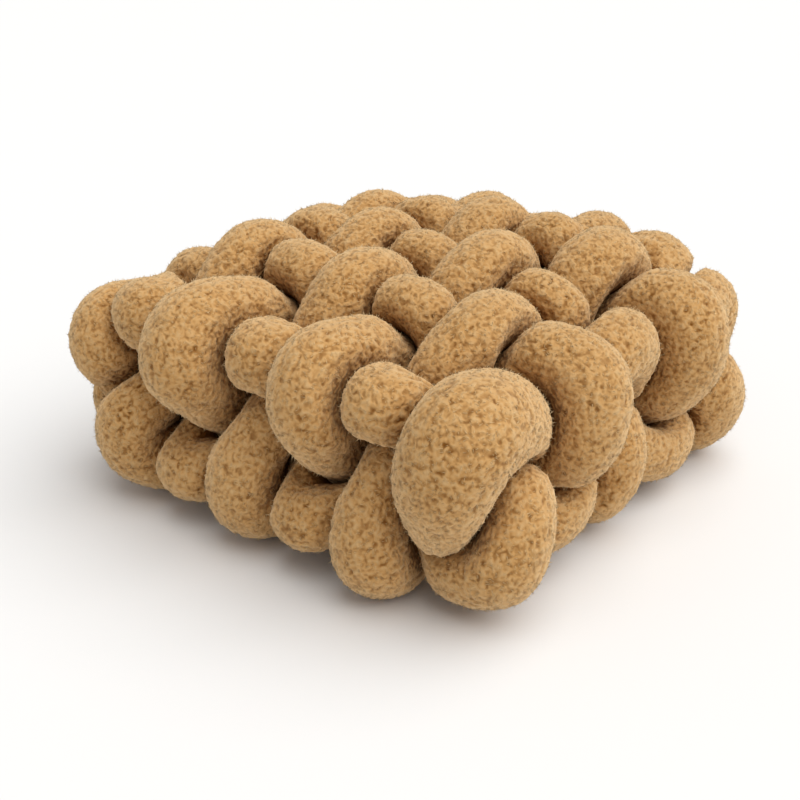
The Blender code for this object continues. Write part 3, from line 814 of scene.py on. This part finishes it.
# ---------------------------------------------------------------- settings
class CushionSizes(bpy.types.PropertyGroup):
    """Sizes and colours of the cushion's fabric."""

    contact_gap: FloatProperty(
        name="Contact gap", description="Clear space between two pressed tubes",
        default=0.0002, min=0.0, max=0.003, unit="LENGTH", precision=4)
    curl_size: FloatProperty(
        name="Curl size", description="Width of one curl of the pile",
        default=0.0045, min=0.001, max=0.01, unit="LENGTH", precision=4)
    fine_curl_size: FloatProperty(
        name="Fine curl size", description="Width of the finest curls, which only the material has",
        default=0.0026, min=0.001, max=0.01, unit="LENGTH", precision=4)
    pile_depth: FloatProperty(
        name="Pile depth", description="Height of the curls from pit to tip",
        default=0.0022, min=0.0, max=0.006, unit="LENGTH", precision=4)
    fibre_density: FloatProperty(
        name="Fibres per square metre", description="Loose fibres standing out of the pile",
        default=84000.0, min=0.0, max=200000.0)
    fibre_length: FloatProperty(
        name="Fibre length", description="Length of a loose fibre",
        default=0.0029, min=0.0005, max=0.01, unit="LENGTH", precision=4)
    fibre_thickness: FloatProperty(
        name="Fibre thickness", description="Half the width of a loose fibre at its root",
        default=0.00028, min=0.0001, max=0.002, unit="LENGTH", precision=4)
    pile_colour: FloatVectorProperty(
        name="Pile colour", description="Colour of the pile's body", subtype="COLOR",
        default=(0.535, 0.297, 0.109), min=0.0, max=1.0)
    tip_colour: FloatVectorProperty(
        name="Tip colour", description="Colour of the curls' tips", subtype="COLOR",
        default=(0.60, 0.393, 0.188), min=0.0, max=1.0)
    # the pile's own darker tone between the curls, deepened into painted shade in the pits
    pit_tone_and_painted_shade: FloatVectorProperty(
        name="Pit colour", description="Colour between the curls", subtype="COLOR",
        default=(0.19, 0.070, 0.010), min=0.0, max=1.0)
    # the loose fibres' paler tone, raised further as a painted highlight that makes the pile's rims
    # pale
    fibre_tone_and_painted_highlight: FloatVectorProperty(
        name="Fibre colour", description="Colour of the loose fibres", subtype="COLOR",
        default=(0.72, 0.50, 0.26), min=0.0, max=1.0)
    sheen: FloatProperty(
        name="Sheen", description="Pale sheen where the pile turns away from the view",
        default=0.7, min=0.0, max=1.0, subtype="FACTOR")


class StageSettings(bpy.types.PropertyGroup):
    """The floor, the light and the camera."""

    azimuth: FloatProperty(
        name="Azimuth", description="Direction of the camera round the cushion, 0 looks along +Y",
        default=math.radians(-50.63), subtype="ANGLE")
    elevation: FloatProperty(
        name="Elevation", description="Height angle of the camera",
        default=math.radians(25.35), subtype="ANGLE")
    distance: FloatProperty(
        name="Distance", description="From the camera to the point it looks at",
        default=0.9915, min=0.2, max=5.0, unit="LENGTH")
    lens: FloatProperty(
        name="Lens", description="Focal length in millimetres on a 36 mm sensor",
        default=52.0, min=10.0, max=300.0)
    target: FloatVectorProperty(
        name="Target", description="The point the camera looks at",
        default=(-0.0223, 0.0042, 0.0674), subtype="TRANSLATION")
    floor_colour: FloatVectorProperty(
        name="Floor colour", description="Colour of the floor", subtype="COLOR",
        default=(0.815, 0.815, 0.815), min=0.0, max=1.0)
    key_power: FloatProperty(
        name="Key light", description="Watts per square metre of the wide soft light from above",
        default=2.85, min=0.0, max=50.0)
    key_width: FloatProperty(
        name="Key width", description="How wide the light from above looks from the cushion",
        default=math.radians(75), subtype="ANGLE")
    sky: FloatProperty(
        name="Surroundings", description="Brightness of the light from all round",
        default=0.44, min=0.0, max=5.0)


# ---------------------------------------------------------------- the tubes
WEAVE = {}                 # what all tubes share, filled once by woven


def woven():
    """The settled centrelines, the points around them, the pile's nodes and the fabric, made once."""
    if not WEAVE:
        WEAVE["lines"] = settled({tube: centreline(tube) for tube in all_tubes()})
        WEAVE["around"] = around_points(WEAVE["lines"])
        WEAVE["tree"] = pile_tree()
        WEAVE["material"] = curly_pile_fabric(bpy.context.scene.cushion_sizes)
    return WEAVE


def make_tubes(run):
    """Makes the tubes of one run, each as a piece in place of its CAD solid."""
    sizes = bpy.context.scene.cushion_sizes
    weave = woven()
    for number, (tube, line) in enumerate(weave["lines"].items()):
        if tube.run != run:
            continue
        fine = read_line(line, section_lengths(line))
        corners, pressed = tube_skin(fine, weave["around"], number, sizes.contact_gap)
        mesh = tube_mesh(tube.name + "_skin", corners, pressed)
        piece = with_pile(tube.name + "_pile", mesh, weave["tree"], sizes, weave["material"],
                          seed=number + 1)
        bpy.data.meshes.remove(mesh)
        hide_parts(tube.name)
        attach(piece, BODY)


# ---------------------------------------------------------------- the stage
FLOOR_HALF = 25.0          # so wide that its edge never shows
KEY_DIRECTION = (0.13, -0.475, 1.0)      # towards the light, from the cushion
KEY_COLOUR = (1.0, 0.99, 0.97)
SENSOR_WIDTH = 36.0        # in millimetres


def add_floor(stage):
    """A plain floor at the height the cushion lies on."""
    half = FLOOR_HALF
    mesh = bpy.data.meshes.new("floor")
    mesh.from_pydata([(-half, -half, 0), (half, -half, 0), (half, half, 0), (-half, half, 0)],
                     [], [(0, 1, 2, 3)])
    mesh.materials.append(plain_material("floor_white", stage.floor_colour, roughness=0.9))
    floor = bpy.data.objects.new("floor", mesh)
    bpy.context.scene.collection.objects.link(floor)


def add_surroundings(stage):
    """Even light from all round, which the camera itself sees as plain white."""
    world = bpy.data.worlds.new("surroundings")
    world.use_nodes = True
    tree = world.node_tree
    background = tree.nodes["Background"]
    background.inputs["Color"].default_value = (1.0, 1.0, 1.0, 1.0)
    seen = add_node(tree, "ShaderNodeLightPath").outputs["Is Camera Ray"]
    strength = maths(tree, "MAXIMUM", seen, stage.sky)
    tree.links.new(strength, background.inputs["Strength"])
    bpy.context.scene.world = world


def add_key_light(stage):
    """A wide soft light from above, far away."""
    back = Vector(KEY_DIRECTION).normalized()
    data = bpy.data.lights.new("key", "SUN")
    data.angle = stage.key_width
    data.energy = stage.key_power
    data.color = KEY_COLOUR
    light = bpy.data.objects.new("key", data)
    light.rotation_euler = (-back).to_track_quat("-Z", "Y").to_euler()
    bpy.context.scene.collection.objects.link(light)


def add_camera(stage):
    """The camera, at the photo's angle."""
    data = bpy.data.cameras.new("camera")
    data.sensor_fit = "HORIZONTAL"
    data.sensor_width = SENSOR_WIDTH
    data.lens = stage.lens
    camera = bpy.data.objects.new("camera", data)
    back = Vector((math.sin(stage.azimuth) * math.cos(stage.elevation),
                   -math.cos(stage.azimuth) * math.cos(stage.elevation),
                   math.sin(stage.elevation)))
    camera.location = Vector(stage.target) + back * stage.distance
    camera.rotation_euler = (-back).to_track_quat("-Z", "Y").to_euler()
    bpy.context.scene.collection.objects.link(camera)
    bpy.context.scene.camera = camera


# ---------------------------------------------------------------- operators and panel
class CUSHION_OT_x_tubes(bpy.types.Operator):
    """Makes the stuffed tubes that run along X."""

    bl_idname = "cushion.x_tubes"
    bl_label = "Make the X tubes"

    def execute(self, context):
        make_tubes("x")
        return {"FINISHED"}


class CUSHION_OT_y_tubes(bpy.types.Operator):
    """Makes the stuffed tubes that run along Y."""

    bl_idname = "cushion.y_tubes"
    bl_label = "Make the Y tubes"

    def execute(self, context):
        make_tubes("y")
        return {"FINISHED"}


class CUSHION_OT_stage(bpy.types.Operator):
    """Makes the floor, the light and the camera."""

    bl_idname = "cushion.stage"
    bl_label = "Make the stage"

    def execute(self, context):
        stage = context.scene.cushion_stage
        add_floor(stage)
        add_surroundings(stage)
        context.scene.view_settings.view_transform = "Standard"
        add_key_light(stage)
        add_camera(stage)
        return {"FINISHED"}


class CUSHION_PT_panel(bpy.types.Panel):
    """Lists the cushion's sizes and the steps that make it."""

    bl_label = "Knot cushion"
    bl_idname = "CUSHION_PT_panel"
    bl_space_type = "VIEW_3D"
    bl_region_type = "UI"
    bl_category = "Knot cushion"

    def draw(self, context):
        layout = self.layout
        for group in (context.scene.cushion_sizes, context.scene.cushion_stage):
            box = layout.box()
            for name in group.__annotations__:
                box.prop(group, name)
        for step in (CUSHION_OT_x_tubes, CUSHION_OT_y_tubes, CUSHION_OT_stage):
            layout.operator(step.bl_idname)


CLASSES = (
    CushionSizes,
    StageSettings,
    CUSHION_OT_x_tubes,
    CUSHION_OT_y_tubes,
    CUSHION_OT_stage,
    CUSHION_PT_panel,
)


def register():
    for item in CLASSES:
        bpy.utils.register_class(item)
    bpy.types.Scene.cushion_sizes = PointerProperty(type=CushionSizes)
    bpy.types.Scene.cushion_stage = PointerProperty(type=StageSettings)


def unregister():
    del bpy.types.Scene.cushion_stage
    del bpy.types.Scene.cushion_sizes
    for item in reversed(CLASSES):
        bpy.utils.unregister_class(item)


def main():
    """Makes the whole scene."""
    register()
    bpy.ops.cushion.x_tubes()
    bpy.ops.cushion.y_tubes()
    bpy.ops.cushion.stage()


if __name__ == "__main__":
    main()
